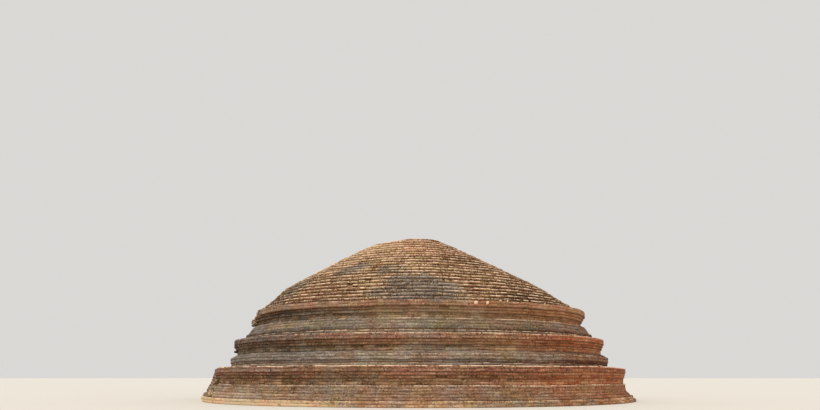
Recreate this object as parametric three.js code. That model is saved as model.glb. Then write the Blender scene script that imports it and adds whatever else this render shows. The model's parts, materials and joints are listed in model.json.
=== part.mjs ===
// A ruined brick stupa: three round terraces with moulded faces, each set back on the one
// below, and a low dome laid in stepped courses. The masonry is solid brick throughout, so
// each band of courses is a full disc that rests on the band under it.
// Millimetres, +Z up. The origin is the centre of the foot, at ground level.
// The front, with the broken rim of the upper cornice at its left end, faces -Y.

import * as THREE from "three";

// Driving dimensions: the height of one brick course in each terrace, and the radius of its
// cornice, from which the faces of its other bands are set out.
const LOWER = { name: "lower_terrace", course: 62, cornice: 5320 };
const MIDDLE = { name: "middle_terrace", course: 61, cornice: 4830 };
const UPPER = { name: "upper_terrace", course: 65, cornice: 4400 };
const DOME = { course: 89, courses: 23 };

// Each band from the foot up: its name, its number of courses, and how far its face stands
// out from the cornice at its foot and at its head. A minus sign is a face set back.
LOWER.bands = [
  { name: "foot", courses: 2, foot: 205, head: 205 },
  { name: "flare", courses: 2, foot: 105, head: 10 },
  { name: "wall", courses: 3, foot: 5, head: -5 },
  { name: "neck", courses: 2, foot: -52, head: -52 },
  { name: "lower_corbel", courses: 1, foot: -36, head: -36 },
  { name: "upper_corbel", courses: 1, foot: -19, head: -19 },
  { name: "cornice", courses: 2, foot: 0, head: 0 },
];
MIDDLE.bands = [
  { name: "base", courses: 2, foot: 65, head: 65 },
  { name: "moulding", courses: 2, foot: 88, head: 88 },
  { name: "weathering", courses: 1, foot: 55, head: -50 },
  { name: "neck", courses: 2, foot: -80, head: -80 },
  { name: "lower_corbel", courses: 1, foot: -54, head: -54 },
  { name: "upper_corbel", courses: 1, foot: -28, head: -28 },
  { name: "cornice", courses: 2, foot: 0, head: 0 },
];
UPPER.bands = [
  { name: "base", courses: 2, foot: 160, head: 140 },
  { name: "moulding", courses: 3, foot: 100, head: -30 },
  { name: "neck", courses: 2, foot: -120, head: -120 },
  { name: "lower_corbel", courses: 1, foot: -85, head: -85 },
  { name: "upper_corbel", courses: 1, foot: -46, head: -46 },
  { name: "cornice", courses: 2, foot: 0, head: 0, broken: true },
];

// Where the rim of the upper cornice has fallen: the bearings in degrees, counterclockwise
// from +X, between which it is gone, and how deep the break goes.
const BREAK = { from: 180, to: 206, depth: 120 };

// The dome's outline from its springing to its crown: height over the upper terrace, radius
// and lean towards +X. The dome has slumped a little to the left of the terraces' centre.
DOME.outline = [
  { height: 0, radius: 4330, lean: 0 },
  { height: 310, radius: 3880, lean: -60 },
  { height: 590, radius: 3550, lean: -120 },
  { height: 870, radius: 3070, lean: -140 },
  { height: 1150, radius: 2530, lean: -145 },
  { height: 1440, radius: 2000, lean: -195 },
  { height: 1720, radius: 1450, lean: -210 },
  { height: 1860, radius: 1195, lean: -200 },
  { height: 2047, radius: 710, lean: -50 },
];

// Facets round a full circle. The small courses near the crown need fewer.
const TERRACE_FACETS = 80;
const DOME_FACETS = 64;
const CROWN_FACETS = 40;
const CROWN_RADIUS = 2000;

// Fired brick in four states of weather, and which bands and courses are in which.
const BRICK = { red: 0x8a5038, brown: 0x6f5340, grey: 0x66605a, tan: 0x94704f };
const BAND_BRICK = {
  foot: "tan",
  flare: "brown",
  wall: "brown",
  base: "grey",
  moulding: "grey",
  weathering: "grey",
  neck: "brown",
  lower_corbel: "brown",
  upper_corbel: "red",
  cornice: "red",
};
const DOME_BRICK = ["tan", "brown"];

function brickwork(state) {
  return new THREE.MeshStandardMaterial({ color: BRICK[state], roughness: 0.94, metalness: 0 });
}

// A disc or slightly tapered drum of masonry that stands on z = 0.
function drum(footRadius, headRadius, height, facets) {
  const geometry = new THREE.CylinderGeometry(headRadius, footRadius, height, facets);
  geometry.rotateX(Math.PI / 2);
  geometry.translate(0, 0, height / 2);
  return geometry;
}

// A disc of masonry whose rim is gone between the two bearings of the break.
function brokenDrum(radius, height, facets) {
  const from = THREE.MathUtils.degToRad(BREAK.from);
  const to = THREE.MathUtils.degToRad(BREAK.to);
  const outline = new THREE.Shape();
  outline.absarc(0, 0, radius, to, from + 2 * Math.PI, false);
  outline.absarc(0, 0, radius - BREAK.depth, from, to, false);
  outline.closePath();
  // An arc is divided into twice as many facets as curveSegments says.
  const shape = { depth: height, bevelEnabled: false, curveSegments: facets / 2 };
  return new THREE.ExtrudeGeometry(outline, shape);
}

// Lays one terrace from the given height up, and returns its pieces and the height of its top.
function terracePieces(terrace, springing) {
  const pieces = [];
  let z = springing;
  for (const band of terrace.bands) {
    const height = band.courses * terrace.course;
    const foot = terrace.cornice + band.foot;
    const head = terrace.cornice + band.head;
    const geometry = band.broken
      ? brokenDrum(head, height, TERRACE_FACETS)
      : drum(foot, head, height, TERRACE_FACETS);
    const piece = new THREE.Mesh(geometry, brickwork(BAND_BRICK[band.name]));
    piece.name = `${terrace.name}_${band.name}`;
    piece.position.z = z;
    pieces.push(piece);
    z += height;
  }
  return { pieces, top: z };
}

// The dome's radius and lean at a height over its springing.
function domeAt(height) {
  const above = DOME.outline.find((point) => point.height >= height);
  const below = DOME.outline[DOME.outline.indexOf(above) - 1];
  const share = (height - below.height) / (above.height - below.height);
  return {
    radius: Math.round(THREE.MathUtils.lerp(below.radius, above.radius, share)),
    lean: Math.round(THREE.MathUtils.lerp(below.lean, above.lean, share)),
  };
}

// Lays the dome course by course. Each course meets the outline at its upper edge.
function domePieces(springing) {
  const pieces = [];
  for (let course = 1; course <= DOME.courses; course += 1) {
    const { radius, lean } = domeAt(course * DOME.course);
    const facets = radius > CROWN_RADIUS ? DOME_FACETS : CROWN_FACETS;
    const geometry = drum(radius, radius, DOME.course, facets);
    const piece = new THREE.Mesh(geometry, brickwork(DOME_BRICK[course % 2]));
    const number = String(course).padStart(2, "0");
    piece.name = course === DOME.courses ? "dome_crown" : `dome_course_${number}`;
    piece.position.set(lean, 0, springing + (course - 1) * DOME.course);
    pieces.push(piece);
  }
  return pieces;
}

const stupa = new THREE.Group();
let springing = 0;
for (const terrace of [LOWER, MIDDLE, UPPER]) {
  const { pieces, top } = terracePieces(terrace, springing);
  stupa.add(...pieces);
  springing = top;
}
stupa.add(...domePieces(springing));

export default stupa;
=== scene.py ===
"""Looks of a ruined brick stupa: every course of each packed band is laid again in single worn bricks.

Metres, +Z up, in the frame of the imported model. The front faces -Y.
"""

import json
import math

import bpy
import numpy as np
from mathutils import Euler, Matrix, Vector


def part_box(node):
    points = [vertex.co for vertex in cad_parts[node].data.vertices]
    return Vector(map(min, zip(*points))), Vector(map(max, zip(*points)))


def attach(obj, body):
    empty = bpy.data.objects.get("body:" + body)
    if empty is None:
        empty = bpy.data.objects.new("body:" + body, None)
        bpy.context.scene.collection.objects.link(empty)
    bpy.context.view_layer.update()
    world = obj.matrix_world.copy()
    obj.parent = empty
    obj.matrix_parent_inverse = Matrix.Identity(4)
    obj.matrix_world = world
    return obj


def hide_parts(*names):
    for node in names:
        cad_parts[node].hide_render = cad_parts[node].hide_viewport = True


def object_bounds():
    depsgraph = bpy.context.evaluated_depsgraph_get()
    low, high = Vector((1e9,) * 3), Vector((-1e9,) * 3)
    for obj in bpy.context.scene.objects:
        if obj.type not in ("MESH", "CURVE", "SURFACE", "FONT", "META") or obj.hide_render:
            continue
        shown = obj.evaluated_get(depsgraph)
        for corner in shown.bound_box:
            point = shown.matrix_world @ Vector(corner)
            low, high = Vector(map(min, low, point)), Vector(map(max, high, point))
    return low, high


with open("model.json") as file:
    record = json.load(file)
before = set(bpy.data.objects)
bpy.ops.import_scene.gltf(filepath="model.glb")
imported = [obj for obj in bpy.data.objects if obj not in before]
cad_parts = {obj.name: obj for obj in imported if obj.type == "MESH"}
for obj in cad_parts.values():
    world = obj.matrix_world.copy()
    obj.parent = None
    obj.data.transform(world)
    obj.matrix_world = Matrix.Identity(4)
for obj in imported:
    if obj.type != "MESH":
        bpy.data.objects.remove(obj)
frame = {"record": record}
cad_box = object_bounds()

TERRACE_COURSE = {"lower_terrace": 0.062, "middle_terrace": 0.061, "upper_terrace": 0.065}
DOME_COURSES = [f"dome_course_{number:02d}" for number in range(1, 23)] + ["dome_crown"]

# How far a sloping band's face draws in from its foot to its head.
BATTER = {
    "lower_terrace_flare": 0.095,
    "lower_terrace_wall": 0.010,
    "middle_terrace_weathering": 0.105,
    "upper_terrace_base": 0.020,
    "upper_terrace_moulding": 0.130,
}

# The two kinds of brickwork. The lengths of the bricks come with their shares of a course. uneven
# is how far a brick's face strays, and a share of the bricks, the loose ones, has slipped back by up
# to slip.
TERRACE_BRICKS = {
    "lengths": (0.15, 0.23, 0.28),
    "shares": (0.35, 0.35, 0.30),
    "bed_joint": 0.005,
    "joint_depth": 0.009,
    "uneven": 0.002,
    "loose": 0.05,
    "slip": 0.015,
}
DOME_BRICKS = {
    "lengths": (0.14, 0.17, 0.24),
    "shares": (0.45, 0.35, 0.20),
    "bed_joint": 0.016,
    "joint_depth": 0.035,
    "uneven": 0.009,
    "loose": 0.18,
    "slip": 0.040,
}
# The finish of the bricks, in the words of Wall.lay, whose crest and dirt also paint a
# highlight and shade, and how much more or less the bricks of some bands differ in tone: more in the
# shade of a cornice.
DOME_FINISH_AND_LIGHT = {"worn": 0.60, "crown": 0.018, "crest": 1.25, "dirt": 1.30, "variety": 0.75}
TERRACE_WEAR = 0.14
TERRACE_VARIETY = 0.55
VARIETY = {"foot": 0.4, "neck": 2.6, "lower_corbel": 2.2, "upper_corbel": 2.2}
# The upright joint between two bricks, how far a brick reaches in, and the hole that it leaves.
HEAD_JOINT = 0.002
HEAD_JOINT_DEPTH = 0.003
BRICK_DEPTH = 0.20
HOLE_DEPTH = 0.08
# How far the dome's bricks reach in under the next course, and what they leave free in the middle.
DOME_LAP = 0.09
DOME_CORE = 0.02
# The rows of bricks on a ledge, how far they reach in under the next band and have sunk, and the
# least radius that they are set out on.
LEDGE_ROW = 0.235
LEDGE_COVER = 0.03
LEDGE_SUNK = 0.004
LEAST_RADIUS = 0.1
# The earth stops below the head of a course whose tread is wide enough to show. Behind a bed joint it
# steps back, up to a little over the joint.
EARTH_DROP = 0.014
HIDDEN_TREAD = 0.03
SEAM_OVERLAP = 0.004
SEAM_STEP = 0.001
# Just under half a brick, so that the corners of the earth behind two bricks stay apart.
EARTH_HALF = 0.49
# How much bricks differ in length, depth and height, in shares of their bed joint, rounding, crest,
# which is pale lime with a painted highlight and below 0 a painted shadow, and dirt and painted shade,
# and how far one is skewed and tilted over a metre of its length.
LENGTH_SPREAD = 0.006
DEPTH_SPREAD = 0.004
HEIGHT_SPREAD = 0.003
JOINT_SHARES = (0.7, 1.2)
CROWN_SHARES = (0.7, 1.3)
CREST_SHARES = (0.35, 0.95)
DIRT_AND_SHADE_SHARES = (0.5, 1.0)
SKEW = 0.012
TILT = 0.006

rng = np.random.default_rng(1907)


# Noise

NOISE_CELLS = 32
NOISE_START = 100.0


def value_noise(points, scale, seed):
    """Smooth noise from 0 to 1 at each point, with features of 1 / scale metres."""
    table = np.random.default_rng(seed).random((NOISE_CELLS,) * 3)
    place = np.asarray(points, float) * scale + NOISE_START
    cell = np.floor(place).astype(int)
    share = place - cell
    share = share * share * (3 - 2 * share)
    total = np.zeros(len(place))
    for corner in np.ndindex(2, 2, 2):
        index = (cell + corner) % NOISE_CELLS
        weight = np.prod(np.where(corner, share, 1 - share), axis=1)
        total += weight * table[index[:, 0], index[:, 1], index[:, 2]]
    return total


def layered_noise(points, scale, seed, layers):
    """Noise with finer layers added to it, still from 0 to 1."""
    total = np.zeros(len(points))
    for layer in range(layers):
        total += value_noise(points, scale * 2 ** layer, seed + layer) / 2 ** (layer + 1)
    return total / (1 - 0.5 ** layers)


def smoothstep(low, high, value):
    share = np.clip((value - low) / (high - low), 0, 1)
    return share * share * (3 - 2 * share)


# One brick

COLUMNS = 6
ROWS = 4
INNER_COLUMNS = (0.36, 0.68)
# How large the chips are, what share of sound bricks has one and how much more of worn ones, and how
# far the corner is drawn in towards a point this deep in the brick.
CHIP_SIZES = (0.02, 0.06)
CHIPPED = 0.03
CHIPPED_BY_WEAR = 0.2
CHIP_PULL = 0.4
CHIP_DEPTH = 0.08


def brick_template():
    """The shell of a brick: a grid on its face, a rim behind the face's edges and four back corners.

    Returns the column, row and layer of each vertex, and the faces, all turned outwards.
    """
    spots = [(column, row, 0) for row in range(ROWS) for column in range(COLUMNS)]
    last_column, last_row = COLUMNS - 1, ROWS - 1
    sides = [
        [(column, 0) for column in range(last_column)],
        [(last_column, row) for row in range(last_row)],
        [(column, last_row) for column in range(last_column, 0, -1)],
        [(0, row) for row in range(last_row, 0, -1)],
    ]
    loop = [spot for side in sides for spot in side]
    spots += [(*spot, 1) for spot in loop]
    corners = [side[0] for side in sides]
    spots += [(*spot, 2) for spot in corners]
    number = {spot: index for index, spot in enumerate(spots)}

    faces = []
    for row in range(last_row):
        for column in range(last_column):
            quad = [(column, row), (column + 1, row), (column + 1, row + 1), (column, row + 1)]
            faces.append([number[(*spot, 0)] for spot in quad])
    for here, after in zip(loop, loop[1:] + loop[:1]):
        faces.append([number[(*here, 0)], number[(*here, 1)], number[(*after, 1)], number[(*after, 0)]])
    for side, start, end in zip(sides, corners, corners[1:] + corners[:1]):
        rim = [number[(*spot, 1)] for spot in [*side, end]]
        faces.append([rim[0], number[(*start, 2)], number[(*end, 2)], *rim[:0:-1]])
    faces.append([number[(*spot, 2)] for spot in corners[::-1]])
    return np.array(spots).T, faces


(COLUMN, ROW, LAYER), BRICK_FACES = brick_template()
BRICK_CORNERS = np.concatenate(BRICK_FACES)
BRICK_FACE_SIZES = np.array([len(face) for face in BRICK_FACES])
IN_UPPER_HALF = ROW >= ROWS / 2


def brick_points(length, depth, height, ends, top, base):
    """Vertices of each brick, centred on its length, with its face at depth 0 and its bed at height 0.

    All arguments are arrays with one value for each brick. ends, top and base are how far its
    ends, its upper edge and its lower edge are rounded.
    """
    zero = np.zeros_like(length)
    along = [zero, ends, *(length * share for share in INNER_COLUMNS), length - ends, length]
    along = np.stack(along, 1)[:, COLUMN]
    upward = np.stack([zero, base, height - top, height], 1)[:, ROW]
    edge = np.where(IN_UPPER_HALF, top[:, None], base[:, None])
    inward = np.choose(LAYER, [0 * edge, edge, 0 * edge + depth[:, None]])
    points = np.stack([along, inward, upward], 2)
    radii = np.stack([0 * edge + ends[:, None], edge, edge], 2)
    low = np.stack([0 * edge + ends[:, None], edge, 0 * edge + base[:, None]], 2)
    high = np.stack([0 * edge + (length - ends)[:, None], 0 * edge + depth[:, None],
                     0 * edge + (height - top)[:, None]], 2)
    inner = np.clip(points, low, high)
    offset = (points - inner) / radii
    reach = np.linalg.norm(offset, axis=2, keepdims=True)
    points = inner + offset / np.maximum(reach, 1) * radii
    points[:, :, 0] -= length[:, None] / 2
    return points


def chip(points, length, height, wear):
    """Breaks a front corner off some bricks."""
    count = len(length)
    side = rng.choice([-0.5, 0.5], count)
    level = rng.choice([0.0, 1.0], count)
    size = rng.uniform(*CHIP_SIZES, count)
    size *= rng.random(count) < CHIPPED + CHIPPED_BY_WEAR * wear ** 2
    corner = np.stack([side * length, np.zeros(count), level * height], 1)[:, None]
    middle = np.stack([np.zeros(count), np.full(count, CHIP_DEPTH), height / 2], 1)[:, None]
    gap = np.linalg.norm(points - corner, axis=2, keepdims=True)
    bite = np.clip(1 - gap / np.maximum(size, 1e-6)[:, None, None], 0, 1)
    points += (middle - points) * bite * CHIP_PULL


# The marks of each vertex that come from its brick, and from its height on the brick, the rise.
BRICK_MARKS = ("tone", "hue", "rise", "wear", "crest", "dirt")
# The shape of the spread of wear, and how far in from its face a brick still shows its rise.
WEAR_SHAPE = 1.6
FACE_ZONE = 0.05
# The lumps of a brick's surface: how many to a metre, how far they stand out and how much more so on
# a worn brick.
LUMPS_PER_METRE = 26.0
LUMPS = 0.004
LUMPS_BY_WEAR = 0.010


class Wall:
    """The bricks of one piece and the earth between them, gathered as arrays."""

    def __init__(self):
        self.bricks = []
        self.marks = []
        self.fill = []

    def lay(self, bearing, radius, bed, length, depth, height, draw_in=0.0, centre_x=0.0,
            worn=0.35, crown=0.010, crest=0.3, dirt=0.4, variety=1.0, face_up=False):
        """Adds bricks by the bearing, radius and bed height of their faces' centres.

        crown rounds the upper edge. crest is how pale that edge is, from dust, lime and a painted
        highlight, and below 0 how dark it is with a painted shadow. dirt is how dark the lower
        edge is, with dirt and painted shade. variety is how much the bricks differ in tone. A brick with
        its face up has radius at its outer side and bed at its face.
        """
        count = len(bearing)
        wear = np.clip(rng.gamma(WEAR_SHAPE, worn / WEAR_SHAPE, count), 0.05, 1.0)
        ends = np.minimum(0.002 + 0.004 * wear, length * 0.2)
        top = np.minimum(crown * rng.uniform(*CROWN_SHARES, count) + 0.010 * wear, height * 0.42)
        base = np.minimum(0.001 + 0.35 * top, height * 0.3)
        points = brick_points(length, depth, height, ends, top, base)
        face = np.clip(1 - points[:, :, 1] / FACE_ZONE, 0, 1)
        rise = np.where(face_up, 0.5, points[:, :, 2] / height[:, None] * face + 0.5 * (1 - face))
        points[:, :, 1] += draw_in * (points[:, :, 2] / height[:, None] - 0.5)
        points[:, :, 1] += points[:, :, 0] * rng.normal(0, SKEW, count)[:, None]
        points[:, :, 2] += points[:, :, 0] * rng.normal(0, TILT, count)[:, None]
        chip(points, length, height, wear)
        angle = bearing[:, None] + points[:, :, 0] / radius[:, None]
        inward, upward = points[:, :, 1], points[:, :, 2]
        if face_up:
            inward, upward = upward, -inward
        reach = np.maximum(radius[:, None] - inward, 0.01)
        world = [centre_x + reach * np.cos(angle), reach * np.sin(angle), bed[:, None] + upward]
        self.add(np.stack(world, 2), wear, rise, crest, dirt, variety)

    def drop(self, bearing, radius, z, size, turns, crest):
        """Adds one loose brick, tumbled, with its middle at a bearing, radius and height."""
        one = np.ones(1)
        length, depth, height = (side * one for side in size)
        edge = 0.2 * height
        points = brick_points(length, depth, height, edge, edge, edge) - [0, size[1] / 2, size[2] / 2]
        points = points @ np.array(Euler(turns).to_matrix()).T
        middle = [radius * math.cos(bearing), radius * math.sin(bearing), z]
        rise = np.full(points.shape[:2], 0.9)
        self.add(points + middle, one, rise, crest, 0.0, 1.0)

    def add(self, world, wear, rise, crest, dirt, variety):
        """Roughens bricks that are in place and keeps them with their marks."""
        count = len(world)
        flat = world.reshape(-1, 3)
        for axis in range(3):
            swing = value_noise(flat, LUMPS_PER_METRE, 40 + axis) - 0.5
            world[:, :, axis] += swing.reshape(count, -1) * (LUMPS + LUMPS_BY_WEAR * wear[:, None])
        spread = np.ones_like(COLUMN)
        self.bricks.append(world)
        self.marks.append(np.stack([
            (0.5 + variety * (rng.random(count) - 0.5))[:, None] * spread,
            rng.random(count)[:, None] * spread,
            rise,
            wear[:, None] * spread,
            (crest * rng.uniform(*CREST_SHARES, count))[:, None] * spread,
            (dirt * rng.uniform(*DIRT_AND_SHADE_SHARES, count))[:, None] * spread,
        ], 2))

    def pack_earth(self, start, end, outline, centre_x):
        """Adds a closed drum of earth behind one course, with two corners for each brick.

        outline gives the drum's reach at each brick and its height, ring by ring from the foot up.
        """
        angle = np.stack([start, end], 1).ravel()
        count = len(angle)
        rings = []
        for reach, z in outline:
            reach = np.repeat(np.maximum(reach, 0.02), 2)
            rings.append(np.stack([centre_x + reach * np.cos(angle), reach * np.sin(angle),
                                   np.full(count, z)], 1))
        foot, head = outline[0][1], outline[-1][1]
        points = np.concatenate([*rings, [[centre_x, 0, foot], [centre_x, 0, head]]])
        here = np.arange(count)
        after = (here + 1) % count
        side = np.stack([here, after, after + count, here + count], 1)
        sides = [side + level * count for level in range(len(outline) - 1)]
        middle = len(outline) * count
        last = (len(outline) - 1) * count
        bottom = np.stack([after, here, np.full(count, middle)], 1)
        top = np.stack([here + last, after + last, np.full(count, middle + 1)], 1)
        corners = np.concatenate([np.ravel(sides), bottom.ravel(), top.ravel()])
        sizes = np.repeat([4, 3], [last, 2 * count])
        self.fill.append((points, corners, sizes))

    def arrays(self):
        """Vertices, face corners, face sizes and marks of it all, and the number of brick faces."""
        points = [bricks.reshape(-1, 3) for bricks in self.bricks]
        marks = np.concatenate([marks.reshape(-1, len(BRICK_MARKS)) for marks in self.marks])
        count = len(marks) // len(COLUMN)
        starts = np.arange(count)[:, None] * len(COLUMN)
        corners = [(BRICK_CORNERS + starts).ravel()]
        sizes = [np.tile(BRICK_FACE_SIZES, count)]
        total = len(marks)
        for fill_points, fill_corners, fill_sizes in self.fill:
            points.append(fill_points)
            corners.append(fill_corners + total)
            sizes.append(fill_sizes)
            total += len(fill_points)
        marks = np.concatenate([marks, np.full((total - len(marks), len(BRICK_MARKS)), 0.5)])
        return (np.concatenate(points), np.concatenate(corners), np.concatenate(sizes), marks,
                count * len(BRICK_FACE_SIZES))


# Courses

def split_ring(radius, bricks):
    """Bearings of the bricks' centres round one course, from a random start on, and their lengths."""
    around = 2 * math.pi * radius
    lengths = []
    while sum(lengths) < around:
        lengths.append(rng.choice(bricks["lengths"], p=bricks["shares"]) + rng.normal(0, LENGTH_SPREAD))
    lengths = np.array(lengths)
    lengths *= around / lengths.sum()
    ends = np.cumsum(lengths)
    return (ends - lengths / 2) / radius + rng.uniform(0, 2 * math.pi), lengths


def lay_ring(wall, radius, bed, height, depth, bricks, ruin, low_top, draw_in=0.0, centre_x=0.0,
             **finish):
    """Lays one course with its earth, which stops low_top short of the head."""
    bearing, length = split_ring(radius, bricks)
    count = len(bearing)
    setback = np.abs(rng.normal(0, bricks["uneven"], count))
    setback += np.where(rng.random(count) < bricks["loose"], rng.uniform(0, bricks["slip"], count), 0)
    gone, moved, hole = (ruin or sound)(np.degrees(bearing) % 360, bed)
    setback += moved
    half = length / radius * EARTH_HALF
    face = radius - np.where(gone, hole, np.maximum(setback, 0) + HEAD_JOINT_DEPTH)
    seam = face - np.where(gone, 0, bricks["joint_depth"] - HEAD_JOINT_DEPTH)
    bed_head = bricks["bed_joint"] + SEAM_OVERLAP
    levels = [(seam, 0.0), (seam, bed_head), (face, bed_head + SEAM_STEP), (face, height - low_top)]
    outline = [(reach + draw_in * (0.5 - level / height), bed + level) for reach, level in levels]
    wall.pack_earth(bearing - half, bearing + half, outline, centre_x)
    stays = ~gone
    joint = bricks["bed_joint"] * rng.uniform(*JOINT_SHARES, count)[stays]
    deep = depth + rng.normal(0, DEPTH_SPREAD, stays.sum()) + np.maximum(-setback[stays], 0)
    tall = height - joint - rng.uniform(0, HEIGHT_SPREAD, stays.sum())
    wall.lay(bearing[stays], radius - setback[stays], bed + joint, length[stays] - HEAD_JOINT, deep,
             tall, draw_in, centre_x, **finish)


def lay_ledge(wall, outer, inner, head, height, centre_x=0.0):
    """Rows of bricks laid face up behind a course, which pave the ledge or crown on top of it."""
    radius = outer
    while radius > inner:
        row = min(LEDGE_ROW, radius)
        middle = max(radius - row / 2, LEAST_RADIUS)
        bearing, length = split_ring(middle, DOME_BRICKS)
        count = len(bearing)
        wall.lay(bearing, np.full(count, radius), head - rng.uniform(0, LEDGE_SUNK, count),
                 length * radius / middle - HEAD_JOINT, np.full(count, height),
                 np.full(count, row - HEAD_JOINT), centre_x=centre_x, face_up=True)
        radius -= row


# Ruin

# Bearings are in degrees, counterclockwise from +X. uneven is how much a depth varies from brick to
# brick, in metres or as a share of it.

# The rim of the upper cornice has fallen between two bearings.
BREAK = {"from": 180, "to": 206, "depth": 0.112, "uneven": (-0.035, 0.02)}
# At the left end of the lower terrace broken masonry juts out towards its foot, beside a hole, whose
# edge is how near to its middle the bricks are gone.
JUT = {"bearing": 194, "spread": 6.5, "foot_reach": 5.50, "lean": 0.33, "uneven": (0.5, 1.1)}
HOLE = {"bearing": 205.5, "spread": 3.2, "from": 0.36, "to": 0.50, "edge": (0.3, 0.6), "depth": 0.07,
        "uneven": (0.5, 1.4)}
# The left end of the lower cornice has crumbled, deepest at this bearing.
CRUMBLED = {"bearing": 195, "spread": 9.0, "depth": 0.045, "uneven": (0.75, 1.1)}
# One brick has fallen out of the dome.
FALLEN_BRICK = {"node": "dome_course_05", "bearing": 246.9}
# The upper course of the foot is gone at its right end, and the lower one is ragged.
LOST_FOOT = {"from": 326, "to": 352, "depth": 0.095, "uneven": (-0.02, 0.01)}
RAGGED_FOOT = {"from": 306, "to": 352, "share": 0.5, "depth": 0.04}

# Heaps of loose bricks, each along a line: how many there are, the line's two ends as bearing, height
# and radius, how far they lie from it in degrees, how long they are, and what share of them is pale.
HEAPS = [
    (16, (192, 0.04, 5.47), (197, 0.20, 5.42), 4, 0.20, 0.3),
    (10, (193, 0.20, 5.34), (197, 0.50, 5.24), 3, 0.17, 0.2),
    (9, (206, 0.13, 5.42), (202, 0.36, 5.33), 0.8, 0.17, 0.5),
    (7, (200, 0.44, 5.28), (202, 0.60, 5.26), 0.7, 0.12, 1.0),
    (5, (198, 0.52, 5.24), (204, 0.66, 5.24), 3, 0.14, 0.2),
    (7, (194, 1.20, 4.77), (200, 1.32, 4.77), 3, 0.15, 0.0),
    (9, (196, 1.85, 4.37), (197, 2.04, 4.33), 4, 0.17, 0.1),
    (9, (324, 0.035, 5.46), (342, 0.05, 5.41), 3, 0.20, 0.5),
]
# A loose brick: its length as a share of its heap's, its depth and height, how far it is tipped and
# lies behind the line, and the crest of a pale one.
LOOSE_LENGTHS = (0.5, 1.0)
LOOSE_DEPTHS = (0.08, 0.13)
LOOSE_HEIGHTS = (0.05, 0.06)
LOOSE_TILT = 0.25
LOOSE_BEHIND = 0.04
PALE_CREST = 0.8
# Pale stones at the rim of the upper ledge: bearing, size and how far they have sunk into it.
LEDGE_STONES = [
    (286.4, 0.085, 0.07), (290, 0.075, 0.07), (294.2, 0.04, 0), (296.6, 0.036, 0), (311, 0.026, 0),
]
STONE_RADIUS = 4.375
STONE_SHAPE = (1.0, 0.9, 0.85)
STONE_MIDDLE = 0.35
STONE_TILT = 0.3
STONE_CREST = 4.0

# Ovals where the masonry has sunk or been pushed in: the middle as bearing and height, the half width
# in degrees and half height in metres, and how far it went down and in.
DENTS = [
    (342, 0.8, 14, 0.25, 0.032, 0.0),
    (196, 0.8, 12, 0.25, 0.028, 0.0),
    (196, 0.95, 16, 0.45, 0.0, 0.028),
    (344, 0.33, 14, 0.2, 0.012, 0.03),
    (270, 0.42, 150, 0.22, 0.018, 0.0),
    (255, 1.7, 60, 0.14, -0.024, 0.0),
    (265, 1.54, 55, 0.05, -0.016, 0.0),
]
# How far the rim of the crown has sunk, from how far under the top and between which radii.
CROWN_SLUMP = 0.040
CROWN_ZONE = 0.25
CROWN_RIM = (0.30, 0.75)


def sound(degrees, bed):
    """Which bricks of an unharmed course are gone, how far each is set back and how deep its hole is."""
    count = len(degrees)
    return np.zeros(count, bool), np.zeros(count), np.full(count, HOLE_DEPTH)


def between(degrees, place):
    return (degrees > place["from"]) & (degrees < place["to"])


def broken_rim(degrees, bed):
    """The backing bricks show where the rim is gone, set back unevenly."""
    fallen, moved, hole = sound(degrees, bed)
    ragged = BREAK["depth"] + rng.uniform(*BREAK["uneven"], len(degrees))
    return fallen, np.where(between(degrees, BREAK), ragged, moved), hole


def nearness(degrees, place):
    """1 at the bearing of a place, falling to 0 away from it."""
    return np.exp(-((degrees - place["bearing"]) / place["spread"]) ** 2)


def crumbled_rim(degrees, bed):
    fallen, moved, hole = sound(degrees, bed)
    near = nearness(degrees, CRUMBLED)
    moved += near * CRUMBLED["depth"] * rng.uniform(*CRUMBLED["uneven"], len(degrees))
    return fallen, moved, hole


def ruined_flank(radius):
    """The ruin of a band of the lower terrace whose face stands at this radius."""
    def ruin(degrees, bed):
        fallen, moved, hole = sound(degrees, bed)
        jut = JUT["foot_reach"] - JUT["lean"] * bed - radius
        moved -= nearness(degrees, JUT) * np.maximum(jut, 0) * rng.uniform(*JUT["uneven"], len(degrees))
        if HOLE["from"] < bed < HOLE["to"]:
            fallen |= nearness(degrees, HOLE) > rng.uniform(*HOLE["edge"], len(degrees))
            hole = np.where(fallen, HOLE["depth"] * rng.uniform(*HOLE["uneven"], len(degrees)), hole)
        return fallen, moved, hole
    return ruin


def ragged_foot(radius):
    """The foot's own ruin at its left end, and its ragged right end."""
    left = ruined_flank(radius)

    def ruin(degrees, bed):
        fallen, moved, hole = left(degrees, bed)
        loose = between(degrees, RAGGED_FOOT) & (rng.random(len(degrees)) < RAGGED_FOOT["share"])
        moved += np.where(loose, rng.uniform(0, RAGGED_FOOT["depth"], len(degrees)), 0)
        if bed > 0:
            lost = LOST_FOOT["depth"] + rng.uniform(*LOST_FOOT["uneven"], len(degrees))
            moved = np.where(between(degrees, LOST_FOOT), lost, moved)
        return fallen, moved, hole
    return ruin


def one_fallen(degrees, bed):
    gone, moved, hole = sound(degrees, bed)
    gone[np.argmin(np.abs(degrees - FALLEN_BRICK["bearing"]))] = True
    return gone, moved, hole


def ruin_of(node, radius):
    if node == FALLEN_BRICK["node"]:
        return one_fallen
    if node == "upper_terrace_cornice":
        return broken_rim
    if node == "lower_terrace_cornice":
        return crumbled_rim
    if node == "lower_terrace_foot":
        return ragged_foot(radius)
    if node.startswith("lower_terrace"):
        return ruined_flank(radius)
    return None


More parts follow.
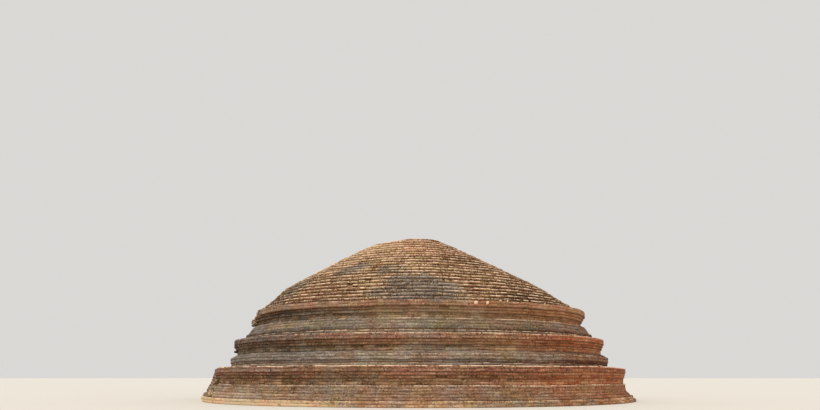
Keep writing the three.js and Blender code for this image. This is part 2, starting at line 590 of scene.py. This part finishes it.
def plan_loose_bricks():
    """The bearing, radius, height, size, turns and paleness of each loose brick."""
    plan = []
    for count, start, end, off, long, pale in HEAPS:
        for number in range(count):
            share = (number + rng.random()) / count
            degrees, z, radius = (np.interp(share, (0, 1), ends) for ends in zip(start, end))
            bearing = math.radians(degrees + rng.uniform(-off, off))
            radius -= rng.uniform(0, LOOSE_BEHIND)
            size = (long * rng.uniform(*LOOSE_LENGTHS), rng.uniform(*LOOSE_DEPTHS),
                    rng.uniform(*LOOSE_HEIGHTS))
            turns = (rng.normal(0, LOOSE_TILT), rng.normal(0, LOOSE_TILT), rng.uniform(0, math.pi))
            crest = PALE_CREST if rng.random() < pale else 0.0
            plan.append((bearing, radius, z, size, turns, crest))
    for degrees, across, sunk in LEDGE_STONES:
        size = [across * share for share in STONE_SHAPE]
        turns = tuple(rng.uniform(-STONE_TILT, STONE_TILT, 3))
        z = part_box("upper_terrace_cornice")[1].z + STONE_MIDDLE * across - sunk
        plan.append((math.radians(degrees), STONE_RADIUS, z, size, turns, STONE_CREST))
    return plan


# Bands

# The edges of each band's courses, from its foot up: how pale the upper edge is, from dust, lime and
# a painted highlight, and below 0 how dark it is with a painted shadow under the course above, and
# how dark the lower edge is, with dirt and painted shade. A whole node's name goes before its band's,
# and a band of fewer courses takes the last ones.
COURSE_EDGES = {
    "foot": [(0.1, 0.2), (0.8, 0.0)],
    "flare": [(0.1, 0.7), (0.1, 0.4)],
    "wall": [(0.1, 0.3), (0.1, 0.3), (0.9, 0.3)],
    "neck": [(0.1, 0.15), (-1.0, 0.6)],
    "lower_corbel": [(-0.5, 0.6)],
    "upper_corbel": [(-1.3, 0.6)],
    "cornice": [(0.2, 0.15), (1.2, 0.0)],
    "base": [(1.9, 0.2), (0.1, 1.0)],
    "moulding": [(0.1, 0.4), (0.0, 0.4), (1.0, 0.3)],
    "weathering": [(0.25, 0.2)],
    "middle_terrace_moulding": [(0.0, 0.4), (0.7, 0.3)],
    "middle_terrace_cornice": [(0.2, 0.15), (0.9, 0.0)],
    "upper_terrace_cornice": [(0.2, 0.6), (0.6, 0.0)],
}


def disc(node):
    """Outer radius, centre, foot and head of a node's disc."""
    low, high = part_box(node)
    return (high.y - low.y) / 2, (high.x + low.x) / 2, low.z, high.z


LOOSE_BRICKS = plan_loose_bricks()


def terrace_wall(terrace, band, next_radius):
    """The bricks of one band of a terrace."""
    node = f"{terrace}_{band}"
    wall = Wall()
    radius, _, foot, head = disc(node)
    course = TERRACE_COURSE[terrace]
    courses = round((head - foot) / course)
    batter = BATTER.get(node, 0.0)
    tread = radius - batter - next_radius
    edges = COURSE_EDGES.get(node, COURSE_EDGES[band])[-courses:]
    for number, (crest, dirt) in enumerate(edges):
        middle = radius - batter * (number + 0.5) / courses
        last = number == courses - 1
        lay_ring(wall, middle, foot + number * course, course, BRICK_DEPTH, TERRACE_BRICKS,
                 draw_in=batter / courses, ruin=ruin_of(node, middle),
                 low_top=EARTH_DROP if last and tread > HIDDEN_TREAD else 0.0, worn=TERRACE_WEAR,
                 crown=0.003 + 0.009 * max(crest, 0), crest=crest, dirt=dirt,
                 variety=TERRACE_VARIETY * VARIETY.get(band, 1.0))
    if tread > BRICK_DEPTH:
        lay_ledge(wall, radius - BRICK_DEPTH - HEAD_JOINT, next_radius - LEDGE_COVER, head, course)
    for brick in LOOSE_BRICKS:
        on_top = node == "upper_terrace_cornice" and brick[2] >= head
        if foot <= brick[2] < head or on_top:
            wall.drop(*brick)
    return wall


def dome_wall(node, next_radius):
    """The bricks of one course of the dome."""
    wall = Wall()
    radius, centre_x, foot, head = disc(node)
    depth = min(max(BRICK_DEPTH, radius - next_radius + DOME_LAP), radius - DOME_CORE)
    lay_ring(wall, radius, foot, head - foot, depth, DOME_BRICKS, centre_x=centre_x,
             ruin=ruin_of(node, radius), low_top=EARTH_DROP, **DOME_FINISH_AND_LIGHT)
    if next_radius == 0:
        lay_ledge(wall, radius - depth - HEAD_JOINT, 0.0, head, head - foot, centre_x)
    return wall


# Weather, and painted light and shade

# Large stains on the seen side: each one's oval, given as in DENTS, the light that it adds to the
# band's, grey and red that take the place of the band's, and moss that shows where the band has less.
# The unseen side mirrors them.
PATCHES = [
    (226, 0.02, 50, 0.055, 0.32, {}),
    (264, 0.115, 14, 0.03, 0.24, {}),
    (271.5, 2.6, 13.5, 0.43, -0.06, {"grey": 1.25}),
    (213, 2.62, 12, 0.33, -0.13, {"grey": 0.75}),
    (236.5, 3.12, 8, 0.22, -0.18, {"grey": 0.8}),
    (302, 3.4, 30, 0.17, -0.36, {}),
    (309, 2.33, 11, 0.12, -0.56, {}),
    (251, 2.6, 8, 0.09, 0.45, {"grey": -0.2}),
    (270, 3.14, 8, 0.09, 0.26, {"grey": 0.1}),
    (257.5, 2.37, 7, 0.15, -0.09, {"grey": 0.75}),
    (256.5, 3.04, 7, 0.17, -0.14, {"grey": 0.8, "moss": 0.2}),
    (232, 1.99, 12, 0.07, 0.02, {"grey": 0.9, "moss": 0.2}),
    (253, 0.08, 10, 0.09, -0.12, {}),
    (234, 0.18, 9, 0.07, -0.14, {}),
    (262, 3.82, 20, 0.16, 0.22, {}),
    (285, 4.2, 110, 0.13, -0.26, {}),
    (305, 3.97, 30, 0.12, -0.24, {}),
    (288, 2.6, 10, 0.38, 0.15, {}),
    (253, 1.54, 10, 0.07, 0.2, {}),
    (287, 0.87, 10, 0.07, -0.13, {}),
    (305, 0.87, 9, 0.07, 0.3, {}),
    (253, 1.29, 9, 0.07, 0.12, {"moss": 0.3}),
    (287, 1.17, 9, 0.06, 0.22, {}),
    (287, 1.9, 9, 0.09, 0.09, {}),
    (253, 1.97, 9, 0.04, -0.1, {}),
    (253, 0.62, 9, 0.25, 0.04, {"grey": 0.5, "moss": 0.3}),
    (326, 0.08, 11, 0.1, 0.34, {}),
    (202, 0.52, 2.6, 0.1, 0.22, {}),
    (229, 2.48, 12, 0.2, 0.1, {"grey": 0.0, "red": 0.3}),
    (264, 1.66, 10, 0.09, 0.16, {"grey": 0.6}),
    (228, 1.7, 16, 0.1, 0.12, {"grey": 0.3}),
    (225, 1.0, 14, 0.07, 0.02, {"grey": 0.9}),
    (260, 0.98, 7, 0.07, 0.05, {"grey": 0.7}),
    (320, 1.7, 14, 0.09, -0.02, {"grey": 0.6}),
    (300, 0.98, 12, 0.07, 0.0, {"grey": 0.7}),
    (288.5, 2.12, 4, 0.09, 0.03, {"red": 0.65}),
    (330, 1.31, 14, 0.13, -0.04, {"red": 1.0}),
    (302, 0.52, 6, 0.07, 0.02, {"red": 0.8}),
    (219, 0.27, 12, 0.14, 0.08, {"red": 0.0, "moss": 0.2}),
    (274, 1.63, 2.0, 0.05, 0, {"moss": 0.8}),
    (247, 1.17, 1.5, 0.05, 0, {"moss": 0.9}),
    (264, 0.89, 4.0, 0.04, 0, {"moss": 0.8}),
    (265, 0.5, 2.5, 0.05, 0, {"moss": 0.7}),
    (302, 1.66, 8.0, 0.06, 0, {"moss": 0.35}),
    (196, 1.27, 5, 0.08, -0.2, {"red": 0.7}),
    (196, 1.95, 5, 0.12, -0.04, {"red": 0.5, "grey": 0.5}),
    (194, 0.18, 5, 0.1, 0.0, {"red": 0.5}),
]

# The bands of each terrace from its foot up: how light each one is, from weathering and from painted
# light and shade such as the shaded left end of the necks and corbels, how grey with lichen, how red
# and how green with moss, each at its left end, its front and its right end.
BAND_WEATHER_AND_LIGHT = {
    "lower_terrace": {
        "foot": [(0.5, 0.04, -0.02), (0.4, 0.5, 0.25), (0, 0, 0.4), (0, 0, 0)],
        "flare": [(0.21, -0.05, -0.09), (0.55, 0.45, 0.1), (0, 0, 0.68), (0, 0, 0)],
        "wall": [(0.05, 0.08, 0.08), (0.55, 0.46, 0.1), (0, 0, 0.48), (0, 0, 0)],
        "neck": [(-0.16, 0.03, 0.22), (0.36, 0.16, -0.4), (0.12, 0.2, 1.0), (0.2, 0.2, 0)],
        "lower_corbel": [(-0.32, -0.06, 0.06), (0.3, 0.15, -0.5), (0.1, 0.25, 1.0), (0.1, 0.1, 0)],
        "upper_corbel": [(-0.31, 0.03, 0.31), (0.3, 0.1, -0.6), (0.1, 0.25, 1.0), (0, 0, 0)],
        "cornice": [(-0.11, -0.11, -0.05), (0.55, 0.3, -0.3), (0, 0, 0.74), (0, 0, 0)],
    },
    "middle_terrace": {
        "base": [(0.04, 0.26, -0.42), (0.75, 0.85, 0.15), (0, 0, 0.5), (0, 0, 0)],
        "moulding": [(0, 0.21, 0.02), (1.0, 0.6, 0.25), (0, 0, 0.3), (0, 0, 0)],
        "weathering": [(-0.09, 0.02, -0.42), (1.0, 0.68, 0.05), (0, 0, 0.4), (0, 0, 0)],
        "neck": [(-0.31, 0, 0.25), (0.65, 0.55, -0.14), (0, 0, 0.84), (0.2, 0.25, 0.15)],
        "lower_corbel": [(-0.26, 0.19, 0.05), (0.6, 0.3, -0.7), (0, 0.18, 1.2), (0.1, 0.2, 0)],
        "upper_corbel": [(-0.34, 0.13, 0.13), (0.6, 0.2, -0.8), (0, 0.22, 1.2), (0.1, 0.25, 0)],
        "cornice": [(-0.18, -0.03, 0.09), (0.75, 0.4, -0.2), (0, 0, 0.88), (0, 0, 0)],
    },
    "upper_terrace": {
        "base": [(-0.24, -0.12, -0.27), (0.8, 0.55, 0.15), (0, 0, 0.3), (0, 0, 0)],
        "moulding": [(-0.08, -0.07, -0.08), (0.8, 0.42, 0.28), (0, 0, 0.3), (0, 0.1, 0)],
        "neck": [(-0.24, 0.24, 0.08), (0.6, 0.4, 0), (0, 0, 0.7), (0.15, 0.45, 0.4)],
        "lower_corbel": [(-0.11, 0.4, 0.35), (0.65, 0.4, -0.1), (0, 0.05, 0.9), (0.2, 0.35, 0.15)],
        "upper_corbel": [(-0.43, 0.37, 0.38), (0.4, 0.2, -0.4), (0, 0.08, 1.0), (0.2, 0.5, 0.15)],
        "cornice": [(0.09, 0.12, 0.28), (0.55, 0.3, -0.1), (0, 0, 0.5), (0.2, 0.2, 0.3)],
    },
}
# The same at the dome's springing, at its middle and near its crown, and how far up these are.
# Near the crown the left end's light paints sunlight on the upper left of the dome.
DOME_WEATHER_AND_LIGHT = [
    [(-0.18, 0.06, -0.27), (0.35, 0.2, -0.25), (0, 0, 0.5), (0.1, 0.1, 0.5)],
    [(0.16, 0.12, -0.08), (0, 0.05, -0.35), (0, 0, 0.5), (0.3, 0.1, 0.55)],
    [(0.46, 0.22, -0.14), (-0.15, -0.2, -0.45), (0.05, 0.3, 0.9), (0.2, 0, 0.4)],
]
DOME_LEVELS = (0.0, 0.45, 0.75)
WEATHER_AND_LIGHT_MARKS = ("light", "red", "grey", "moss")
# Where the front's look gives way to the left end's and to the right end's, in radii to the right of
# the middle.
LEFT_BLEND = (-0.05, -0.72)
RIGHT_BLEND = (0.15, 0.85)
# How far the masonry has bulged, sagged and rippled, which fades out near the ground and the axis.
BULGE = 0.032
SAG = 0.022
RIPPLE = 0.014
CALM_BELOW = 0.4
CALM_WITHIN = 0.6
# How much streaks and clouds change the light and how much the lichen drifts, and how far out and how
# ragged the edge of a patch is.
STREAKS = 0.26
CLOUDS = 0.20
LICHEN_DRIFT = 0.5
PATCH_EDGE = (1.30, 0.45)
PATCH_RAGGED = 1.5


def from_middle(bearing, height, oval):
    """How far each place is from the middle of an oval, as a share of the way to its edge."""
    degrees, level, width, tall = oval
    return np.hypot((bearing - degrees) / width, (height - level) / tall)


def settle(points):
    """Bulges and sags the whole masonry a little, as one body, and keeps it in its box."""
    low, high = (np.array(corner) for corner in cad_box)
    reach = np.linalg.norm(points[:, :2], axis=1, keepdims=True)
    outward = points[:, :2] / np.maximum(reach, 0.05)
    calm = smoothstep(0, CALM_BELOW, points[:, 2]) * smoothstep(0, CALM_WITHIN, reach[:, 0])
    bulge = (layered_noise(points, 0.9, 7, 2) - 0.5) * BULGE
    sag = (value_noise(points * [1, 1, 0.5], 0.8, 11) - 0.5) * SAG
    ripple = (value_noise(points * [1, 1, 0.4], 2.4, 13) - 0.5) * RIPPLE
    points[:, :2] += outward * (bulge * calm)[:, None]
    points[:, 2] += (sag + ripple) * calm
    bearing = np.degrees(np.arctan2(points[:, 1], points[:, 0])) % 360
    height = points[:, 2].copy()
    for *oval, down, inward in DENTS:
        share = np.exp(-from_middle(bearing, height, oval) ** 2) * calm
        points[:, 2] -= down * share
        points[:, :2] -= outward * (inward * share)[:, None]
    near_crown = smoothstep(high[2] - CROWN_ZONE, high[2], points[:, 2])
    points[:, 2] -= CROWN_SLUMP * near_crown * smoothstep(*CROWN_RIM, reach[:, 0])
    return np.clip(points, low, high)


def side_blend(values, across):
    """A value for each point from those at the left end, the front and the right end."""
    left, front, right = values
    to_left = smoothstep(*LEFT_BLEND, across)
    to_right = smoothstep(*RIGHT_BLEND, across)
    return front + (left - front) * to_left + (right - front) * to_right


def band_weather_and_light(node, across):
    """How light, grey, red and mossy a node's bricks are by how far across it they are, the light partly
    painted light and shade.
    """
    for terrace, bands in BAND_WEATHER_AND_LIGHT.items():
        if node.startswith(terrace):
            band = node.removeprefix(f"{terrace}_")
            return [side_blend(values, across) for values in bands[band]]
    share = DOME_COURSES.index(node) / (len(DOME_COURSES) - 1)
    marks = []
    for levels in zip(*DOME_WEATHER_AND_LIGHT):
        sides = [np.interp(share, DOME_LEVELS, side) for side in zip(*levels)]
        marks.append(side_blend(sides, across))
    return marks


def weather_and_light(points, node, radius):
    """The weather marks of each vertex, whose light mark is partly painted light and shade."""
    across = points[:, 0] / radius
    light, grey, red, moss = band_weather_and_light(node, across)
    streaks = layered_noise(points * [0.9, 0.9, 15.0], 1.0, 61, 2)
    clouds = layered_noise(points, 0.8, 71, 3)
    light = light + STREAKS * (streaks - 0.5) + CLOUDS * (clouds - 0.5)
    grey = grey + LICHEN_DRIFT * (layered_noise(points * [1, 1, 3], 0.7, 81, 2) - 0.5)
    bearing = np.degrees(np.arctan2(-np.abs(points[:, 1]), points[:, 0])) % 360
    ragged = layered_noise(points * [1, 1, 2], 2.2, 91, 3) - 0.5
    for *oval, brighter, patch in PATCHES:
        off = from_middle(bearing, points[:, 2], oval)
        cover = smoothstep(*PATCH_EDGE, off + PATCH_RAGGED * ragged)
        light += cover * brighter
        red += cover * (patch.get("red", 0) - red) * ("red" in patch)
        grey += cover * (patch.get("grey", 0) - grey) * ("grey" in patch)
        moss = np.maximum(moss, cover * patch.get("moss", 0))
    return np.stack([light, np.clip(red, 0, 1), np.clip(grey, 0, 1), moss], 1)


# Meshes

def add_object(name, data):
    thing = bpy.data.objects.new(name, data)
    bpy.context.scene.collection.objects.link(thing)
    return thing


def make_mesh(name, points, corners, sizes, marks):
    """A mesh from arrays, with one float attribute for each kind of mark."""
    mesh = bpy.data.meshes.new(name)
    mesh.vertices.add(len(points))
    mesh.vertices.foreach_set("co", points.ravel())
    mesh.loops.add(len(corners))
    mesh.loops.foreach_set("vertex_index", corners.astype(np.int32))
    mesh.polygons.add(len(sizes))
    mesh.polygons.foreach_set("loop_start", (np.cumsum(sizes) - sizes).astype(np.int32))
    mesh.update(calc_edges=True)
    for column, attribute in enumerate(BRICK_MARKS + WEATHER_AND_LIGHT_MARKS):
        layer = mesh.attributes.new(attribute, "FLOAT", "POINT")
        layer.data.foreach_set("value", marks[:, column].astype(np.float32))
    return mesh


def make_piece(node, wall):
    """Turns a wall into the piece that stands for a node."""
    slot = SLOTS[node]
    points, corners, sizes, marks, brick_faces = wall.arrays()
    points = settle(points)
    marks = np.concatenate([marks, weather_and_light(points, node, disc(node)[0])], 1)
    mesh = make_mesh(f"{node}_bricks", points, corners, sizes, marks)
    mesh.materials.append(BRICKS[slot])
    mesh.materials.append(FILL)
    is_fill = np.arange(len(sizes)) >= brick_faces
    mesh.polygons.foreach_set("material_index", is_fill.astype(np.int32))
    mesh.polygons.foreach_set("use_smooth", ~is_fill)
    mesh.validate()
    piece = add_object(f"{node}_bricks", mesh)
    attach(piece, "root")
    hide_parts(node)


# Materials

def linear(red, green, blue):
    """A colour given as it looks on screen, from 0 to 255, in linear light."""
    value = np.array([red, green, blue]) / 255
    return tuple(np.where(value <= 0.04045, value / 12.92, ((value + 0.055) / 1.055) ** 2.4)) + (1.0,)


class Shader:
    """A short way to write a material's nodes."""

    def __init__(self, name):
        self.material = bpy.data.materials.new(name)
        self.material.use_nodes = True
        self.nodes = self.material.node_tree.nodes
        self.links = self.material.node_tree.links
        self.surface = self.nodes["Principled BSDF"]
        self.place = self.nodes.new("ShaderNodeTexCoord").outputs["Object"]

    def put(self, kind, settings=None, **inputs):
        node = self.nodes.new(kind)
        for name, value in (settings or {}).items():
            setattr(node, name, value)
        for name, value in inputs.items():
            self.feed(node.inputs[name.replace("_", " ")], value)
        return node

    def feed(self, socket, value):
        if isinstance(value, bpy.types.NodeSocket):
            self.links.new(value, socket)
        else:
            socket.default_value = value

    def mark(self, name):
        return self.put("ShaderNodeAttribute", {"attribute_name": name}).outputs["Fac"]

    def noise(self, scale, detail, roughness=0.55, stretch=None):
        place = self.place
        if stretch:
            place = self.put("ShaderNodeMapping", Vector=place, Scale=stretch).outputs["Vector"]
        node = self.put("ShaderNodeTexNoise", Vector=place, Scale=scale, Detail=detail,
                        Roughness=roughness)
        return node.outputs["Fac"]

    def math(self, operation, first, second, clamp=False):
        node = self.put("ShaderNodeMath", {"operation": operation, "use_clamp": clamp})
        self.feed(node.inputs[0], first)
        self.feed(node.inputs[1], second)
        return node.outputs[0]

    def plus(self, first, second):
        return self.math("ADD", first, second)

    def minus(self, first, second, clamp=False):
        return self.math("SUBTRACT", first, second, clamp)

    def times(self, first, second, clamp=False):
        return self.math("MULTIPLY", first, second, clamp)

    def total(self, *terms):
        """The sum of values, each with a weight that it is multiplied by after 0.5 is taken off."""
        result = 0.0
        for value, weight in terms:
            result = self.plus(self.times(self.minus(value, 0.5), weight), result)
        return result

    def step(self, value, low, high):
        """0 below low, 1 above high and smooth between them."""
        node = self.put("ShaderNodeMapRange", {"interpolation_type": "SMOOTHSTEP"}, Value=value)
        node.inputs["From Min"].default_value = low
        node.inputs["From Max"].default_value = high
        return node.outputs["Result"]

    def ramp(self, value, colours):
        """Colours spread evenly from 0 to 1."""
        node = self.put("ShaderNodeValToRGB", Fac=value)
        stops = node.color_ramp.elements
        while len(stops) < len(colours):
            stops.new(0.5)
        for number, colour in enumerate(colours):
            stops[number].position = number / (len(colours) - 1)
            stops[number].color = linear(*colour)
        return node.outputs["Color"]

    def mix(self, share, first, second, blend="MIX"):
        node = self.put("ShaderNodeMix", {"data_type": "RGBA", "blend_type": blend})
        self.feed(node.inputs["Factor"], share)
        self.feed(node.inputs[6], first)
        self.feed(node.inputs[7], second)
        return node.outputs[2]

    def finish(self, colour, roughness, relief, depth):
        self.feed(self.surface.inputs["Base Color"], colour)
        self.feed(self.surface.inputs["Roughness"], roughness)
        self.surface.inputs["Specular IOR Level"].default_value = 0.2
        bump = self.put("ShaderNodeBump", Height=relief, Distance=depth, Strength=0.8)
        self.links.new(bump.outputs["Normal"], self.surface.inputs["Normal"])
        return self.material


# Pale lime and dust on the upper edges of bricks, with a painted highlight on them.
LIME_AND_HIGHLIGHT = linear(248, 213, 180)
# Dark brown for soot and dirt, and for painted shade and painted shadow.
SOOT_AND_SHADE = linear(80, 47, 13)
FLECKS = linear(216, 192, 158)
MOSS = linear(98, 104, 60)
# Each run of colours goes from the darkest bricks to the palest.
DUST = [(112, 86, 62), (168, 136, 104), (214, 182, 146)]
LICHEN = [(60, 57, 54), (93, 89, 85), (123, 116, 109), (149, 142, 134), (187, 180, 169)]
FRESH = [(84, 33, 17), (126, 58, 31), (160, 83, 47), (185, 106, 63), (208, 143, 101)]
# Tints that the brick drifts between over a metre or so, olive to mauve.
CASTS = [(247, 253, 230), (255, 250, 246), (255, 240, 242)]
BRICK_COLOURS = {
    "red_brick": [(86, 52, 38), (122, 82, 63), (156, 113, 90), (182, 140, 114), (214, 178, 148)],
    "brown_brick": [(66, 48, 29), (103, 77, 52), (146, 112, 87), (172, 137, 109), (206, 174, 142)],
    "grey_brick": [(72, 62, 51), (106, 92, 77), (138, 118, 97), (164, 144, 119), (198, 178, 150)],
    "tan_brick": [(80, 56, 31), (124, 90, 58), (164, 126, 91), (193, 158, 117), (222, 192, 150)],
}


def brick_material(name, colours):
    """Worn unglazed brick, with lichen, fresh red breaks, moss, dust, pale upper edges and painted light
    and shade.
    """
    shader = Shader(name)
    tone, hue, rise, wear, crest, dirt, light, red, grey, moss = (
        shader.mark(mark) for mark in BRICK_MARKS + WEATHER_AND_LIGHT_MARKS)
    within = shader.noise(16.0, detail=6.0, roughness=0.65)
    streaks = shader.noise(4.0, detail=5.0, stretch=(1.0, 1.0, 8.0))
    blots = shader.noise(2.6, detail=8.0, roughness=0.6)
    grain = shader.noise(110.0, detail=3.0, roughness=0.7)
    specks = shader.noise(34.0, detail=3.0, roughness=0.6)
    rough = shader.times(shader.plus(wear, 0.25), 3.6)
    shade = shader.total((tone, 0.28), (within, 0.80), (streaks, 1.15), (blots, 0.35), (specks, rough))
    # The light mark darkens and lightens the brick with weathering and with painted light and shade.
    shade = shader.plus(shade, shader.plus(light, 0.5))
    colour = shader.ramp(shade, colours)
    cast = shader.ramp(shader.step(shader.noise(1.9, detail=4.0), 0.36, 0.64), CASTS)
    colour = shader.mix(1.0, colour, cast, "MULTIPLY")
    fresh = shader.times(red, shader.plus(shader.times(hue, 0.7), 0.6), clamp=True)
    colour = shader.mix(fresh, colour, shader.ramp(shade, FRESH))
    bare = shader.times(shader.step(hue, 0.90, 0.97), 0.18)
    colour = shader.mix(bare, colour, shader.ramp(shade, FRESH))
    cover = shader.total((blots, 1.6), (within, 0.5), (grey, 1.0))
    lichen = shader.step(cover, -0.30, 0.48)
    colour = shader.mix(shader.times(lichen, 0.85), colour, shader.ramp(shade, LICHEN))
    colour = shader.mix(shader.times(moss, shader.step(within, 0.38, 0.6)), colour, MOSS)
    # The lower edge of each brick darkens with dirt and painted shade.
    low = shader.times(shader.step(rise, 0.62, 0.20), shader.times(dirt, 0.85))
    low = shader.times(low, shader.minus(1.0, shader.times(lichen, 0.45)))
    colour = shader.mix(low, colour, SOOT_AND_SHADE)
    # Painted shadow: where crest is below 0, the upper part of a brick under an overhanging course is
    # darkened.
    painted_shadow = shader.times(crest, -0.8, clamp=True)
    colour = shader.mix(shader.times(shader.step(rise, 0.35, 1.0), painted_shadow), colour, SOOT_AND_SHADE)
    # Pale upper edges: lime and dust, and a painted highlight where light catches the edge.
    broken = shader.total((within, 0.8), (specks, shader.times(rough, 0.65)), (blots, 0.8), (crest, 0.5))
    edge = shader.times(shader.step(rise, 0.60, 0.80), shader.step(broken, -0.10, 0.20))
    bared = shader.minus(1.15, shader.times(lichen, 0.85))
    lime_and_highlight = shader.times(crest, bared, clamp=True)
    colour = shader.mix(shader.times(edge, lime_and_highlight), colour, LIME_AND_HIGHLIGHT)
    dusty = shader.plus(shader.times(wear, 0.65), 0.22)
    dusty = shader.minus(dusty, shader.times(lichen, 0.25), clamp=True)
    flecks = shader.times(shader.step(shader.noise(27.0, detail=2.0), 0.60, 0.68), dusty)
    colour = shader.mix(flecks, colour, FLECKS)
    pocks = shader.times(shader.step(shader.noise(22.0, detail=2.0), 0.38, 0.30), 0.55)
    colour = shader.mix(pocks, colour, SOOT_AND_SHADE)
    normal = shader.put("ShaderNodeNewGeometry").outputs["Normal"]
    upward = shader.put("ShaderNodeSeparateXYZ", Vector=normal).outputs["Z"]
    lying = shader.times(shader.step(upward, 0.5, 0.9), shader.step(within, 0.3, 0.7))
    lying = shader.times(lying, shader.minus(0.6, shader.times(lichen, 0.45)))
    colour = shader.mix(lying, colour, shader.ramp(shade, DUST))
    pits = shader.put("ShaderNodeTexVoronoi", Vector=shader.place, Scale=70.0).outputs["Distance"]
    relief = shader.total((within, 1.2), (grain, 0.5), (shader.step(pits, 0.0, 0.35), 0.35))
    relief = shader.plus(relief, shader.times(wear, 0.1))
    roughness = shader.plus(shader.times(grain, 0.12), 0.84)
    return shader.finish(colour, roughness, relief, 0.004)


def fill_material():
    """Earth and mortar in the joints and behind the bricks, paler where the bricks are, with their
    painted light and shade.
    """
    shader = Shader("earth_fill")
    lumps = shader.noise(30.0, detail=6.0, roughness=0.7)
    shade = shader.plus(lumps, shader.mark("light"))
    colour = shader.ramp(shade, [(72, 51, 34), (108, 81, 58), (142, 112, 84), (174, 143, 112)])
    return shader.finish(colour, 0.97, lumps, 0.006)


BRICKS = {name: brick_material(name, colours) for name, colours in BRICK_COLOURS.items()}
FILL = fill_material()
SLOTS = {row["node"]: row["material_slot"] for row in frame["record"]["subparts"]}


# The stupa

def build_terraces():
    bands = [(terrace, band) for terrace, names in BAND_WEATHER_AND_LIGHT.items() for band in names]
    nodes = [f"{terrace}_{band}" for terrace, band in bands]
    for (terrace, band), node, above in zip(bands, nodes, nodes[1:] + DOME_COURSES[:1]):
        make_piece(node, terrace_wall(terrace, band, disc(above)[0]))


def build_dome():
    for node, above in zip(DOME_COURSES, DOME_COURSES[1:] + [None]):
        make_piece(node, dome_wall(node, disc(above)[0] if above else 0))


# Stage, light and camera

FOCAL_PIXELS = 730.0
IMAGE_WIDTH = 820.0
SENSOR_MM = 36.0
CAMERA_PLACE = (0.0, -20.0, 0.577)
CAMERA_PITCH = math.atan(172.0 / FOCAL_PIXELS)
CAMERA_YAW = math.atan(8.2 / FOCAL_PIXELS)
FLOOR_RADIUS = 400.0
FLOOR_SIDES = 96
FLOOR_LEVEL = -0.002


def place_camera():
    camera = bpy.data.cameras.new("camera")
    camera.sensor_width = SENSOR_MM
    camera.lens = SENSOR_MM * FOCAL_PIXELS / IMAGE_WIDTH
    camera.clip_end = 1000.0
    holder = add_object("camera", camera)
    holder.location = CAMERA_PLACE
    holder.rotation_euler = (math.pi / 2 + CAMERA_PITCH, 0.0, CAMERA_YAW)
    bpy.context.scene.camera = holder


def place_floor():
    mesh = bpy.data.meshes.new("floor")
    around = np.linspace(0, 2 * math.pi, FLOOR_SIDES, endpoint=False)
    rim = [(FLOOR_RADIUS * math.cos(angle), FLOOR_RADIUS * math.sin(angle), 0.0) for angle in around]
    mesh.from_pydata(rim, [], [range(FLOOR_SIDES)])
    floor = add_object("floor", mesh)
    floor.location.z = FLOOR_LEVEL
    material = bpy.data.materials.new("floor")
    material.use_nodes = True
    surface = material.node_tree.nodes["Principled BSDF"]
    surface.inputs["Base Color"].default_value = linear(226, 220, 210)
    surface.inputs["Roughness"].default_value = 0.9
    mesh.materials.append(material)


def place_lamp(name, place, angle, strength, colour):
    """A far soft light that shines from a place towards the stupa."""
    light = bpy.data.lights.new(name, "SUN")
    light.angle = math.radians(angle)
    light.energy = strength
    light.color = colour
    holder = add_object(name, light)
    holder.location = place
    holder.rotation_euler = (math.atan2(math.hypot(place[0], place[1]), place[2]), 0.0,
                             math.atan2(place[1], place[0]) + math.pi / 2)


def place_lights():
    world = bpy.data.worlds.new("studio")
    world.use_nodes = True
    background = world.node_tree.nodes["Background"]
    background.inputs["Color"].default_value = (1.0, 0.985, 0.96, 1.0)
    background.inputs["Strength"].default_value = 0.70
    bpy.context.scene.world = world
    place_lamp("key", (-7.0, -9.0, 16.0), 14.0, 1.5, (1.0, 0.96, 0.90))
    place_lamp("fill", (14.0, -14.0, 9.0), 40.0, 0.35, (1.0, 0.95, 0.9))
    bpy.context.scene.view_settings.view_transform = "Standard"


place_camera()
build_terraces()
build_dome()
place_floor()
place_lights()
